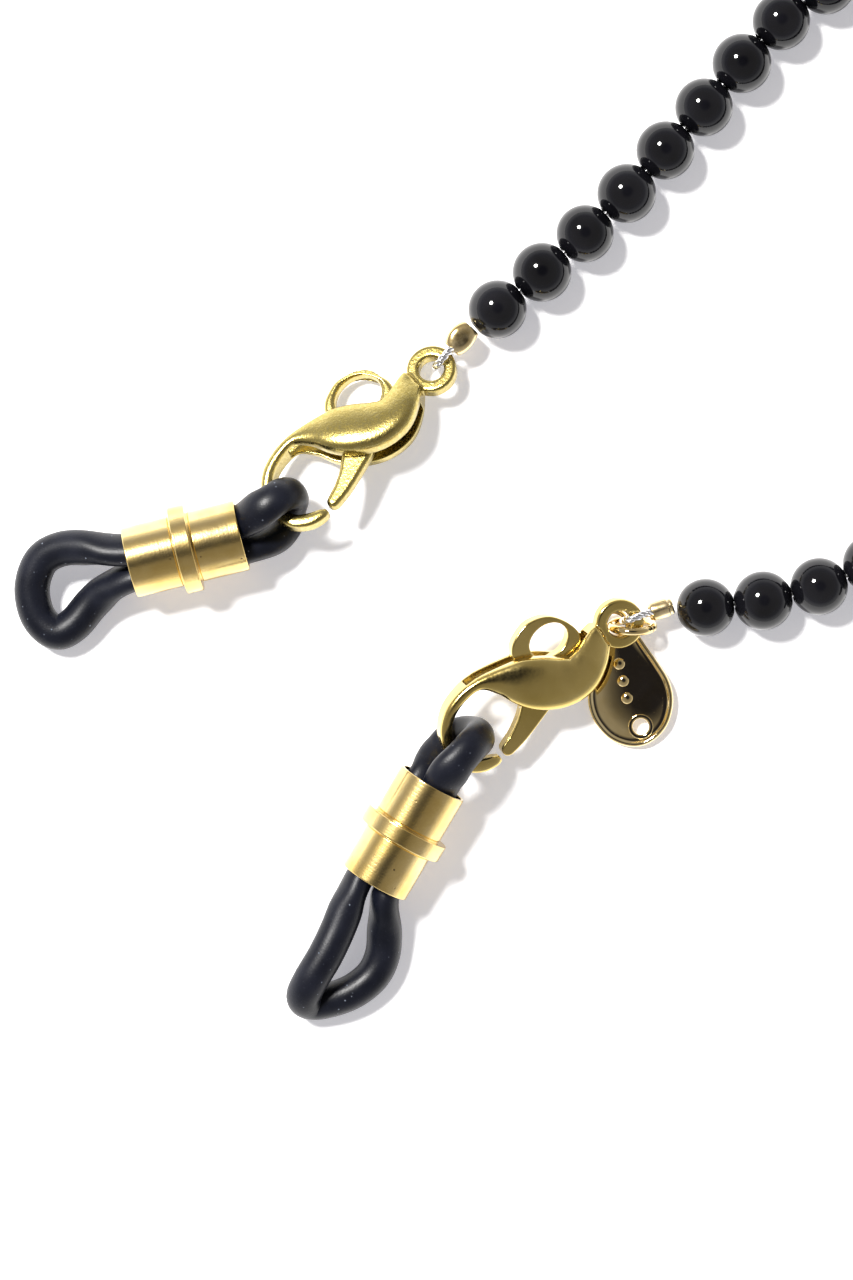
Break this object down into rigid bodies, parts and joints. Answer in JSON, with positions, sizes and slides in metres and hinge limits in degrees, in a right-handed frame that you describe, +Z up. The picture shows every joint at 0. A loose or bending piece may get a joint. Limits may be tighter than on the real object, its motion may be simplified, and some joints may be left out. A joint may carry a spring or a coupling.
{
  "type": "eyeglass retainer chain",
  "caption": "Beaded neck chain for spectacles: a strand of round black beads with a lobster clasp, brass sleeve and rubber temple loop at each end.",
  "frame": {"origin": "on the table, under the middle of the two clasp ends and their fittings (the strand is not counted)", "axes": "+Z up from the table; the strand leaves towards +X; the end with the satin clasp lies on the +Y side"},
  "size_m": [0.1241, 0.0751, 0.0064],
  "materials": {
    "satin_gold_a": "satin gold plate over a fine cast grain",
    "polished_gold_b": "polished gold plate",
    "pin_steel": "plain pin ends ground flush",
    "spring_steel": "drawn spring wire",
    "black_rubber": "matte moulded rubber with dust specks",
    "turned_brass": "turned and lacquered, tiny dark specks",
    "crimp_brass": "bright pressed crimp",
    "mirror_gold": "mirror polished pale gold",
    "bead_wire": "fine stranded wire",
    "black_onyx": "polished black stone"
  },
  "bodies": {
    "strand": {"beads_lead_a": "black_onyx", "beads_coil_outer_a": "black_onyx", "beads_coil_inner_a": "black_onyx", "beads_coil_centre": "black_onyx", "beads_coil_inner_b": "black_onyx", "beads_coil_outer_b": "black_onyx", "beads_lead_b": "black_onyx", "beading_wire": "bead_wire", "crimp_a": "crimp_brass", "crimp_b": "crimp_brass"},
    "clasp_a": {"clasp_body_a": "satin_gold_a", "pivot_pin_a": "pin_steel", "spring_a": "spring_steel"},
    "trigger_a": {"trigger_a": "satin_gold_a"},
    "rubber_a": {"rubber_ring_a": "black_rubber"},
    "sleeve_a": {"sleeve_a": "turned_brass"},
    "clasp_b": {"clasp_body_b": "polished_gold_b", "pivot_pin_b": "pin_steel", "spring_b": "spring_steel"},
    "trigger_b": {"trigger_b": "polished_gold_b"},
    "rubber_b": {"rubber_ring_b": "black_rubber"},
    "sleeve_b": {"sleeve_b": "turned_brass"},
    "jump_ring": {"jump_ring": "mirror_gold"},
    "tag": {"hang_tag": "mirror_gold", "tag_grommet": "mirror_gold"}
  },
  "joints": [
    {"name": "clasp_a_swing", "type": "hinge", "parent": "strand", "child": "clasp_a", "pos_m": [0.00586, 0.02115, 0.00175], "axis": [0, 0, 1], "range_deg": [-25, 25]},
    {"name": "trigger_a_press", "type": "hinge", "parent": "clasp_a", "child": "trigger_a", "pos_m": [0.00091, 0.01726, 0.00226], "axis": [0.1559, -0.3199, -0.9345], "range_deg": [0, 16], "stiffness_Nm_per_rad": 0.00004, "springref_deg": -17.19, "deforming": ["rubber_ring_a"]},
    {"name": "rubber_a_swing", "type": "hinge", "parent": "clasp_a", "child": "rubber_a", "pos_m": [-0.00477, 0.0117, 0.00321], "axis": [0, 0, 1], "range_deg": [-10, 5]},
    {"name": "sleeve_a_slide", "type": "slide", "parent": "rubber_a", "child": "sleeve_a", "axis": [-0.9711, -0.2385, 0], "range_m": [0, 0.0005]},
    {"name": "clasp_b_swing", "type": "hinge", "parent": "strand", "child": "clasp_b", "pos_m": [0.01844, 0.00409, 0.0024], "axis": [0, 0, 1], "range_deg": [-20, 2]},
    {"name": "trigger_b_press", "type": "hinge", "parent": "clasp_b", "child": "trigger_b", "pos_m": [0.01314, 0.0007, 0.00298], "axis": [-0.2371, 0.2089, -0.9487], "range_deg": [0, 16], "stiffness_Nm_per_rad": 0.00004, "springref_deg": -17.19, "deforming": ["rubber_ring_b"]},
    {"name": "rubber_b_swing", "type": "hinge", "parent": "clasp_b", "child": "rubber_b", "pos_m": [0.00692, -0.00432, 0.00343], "axis": [0, 0, 1], "range_deg": [-6, 8]},
    {"name": "sleeve_b_slide", "type": "slide", "parent": "rubber_b", "child": "sleeve_b", "axis": [-0.5048, -0.8604, -0.0698], "range_m": [0, 0.0005]},
    {"name": "jump_ring_swing", "type": "hinge", "parent": "clasp_b", "child": "jump_ring", "pos_m": [0.01844, 0.00409, 0.0024], "axis": [0, 0, 1], "range_deg": [-6, 0]},
    {"name": "tag_swing", "type": "hinge", "parent": "jump_ring", "child": "tag", "pos_m": [0.01822, 0.0039, 0.00082], "axis": [0, 0, 1], "range_deg": [0, 12]}
  ]
}
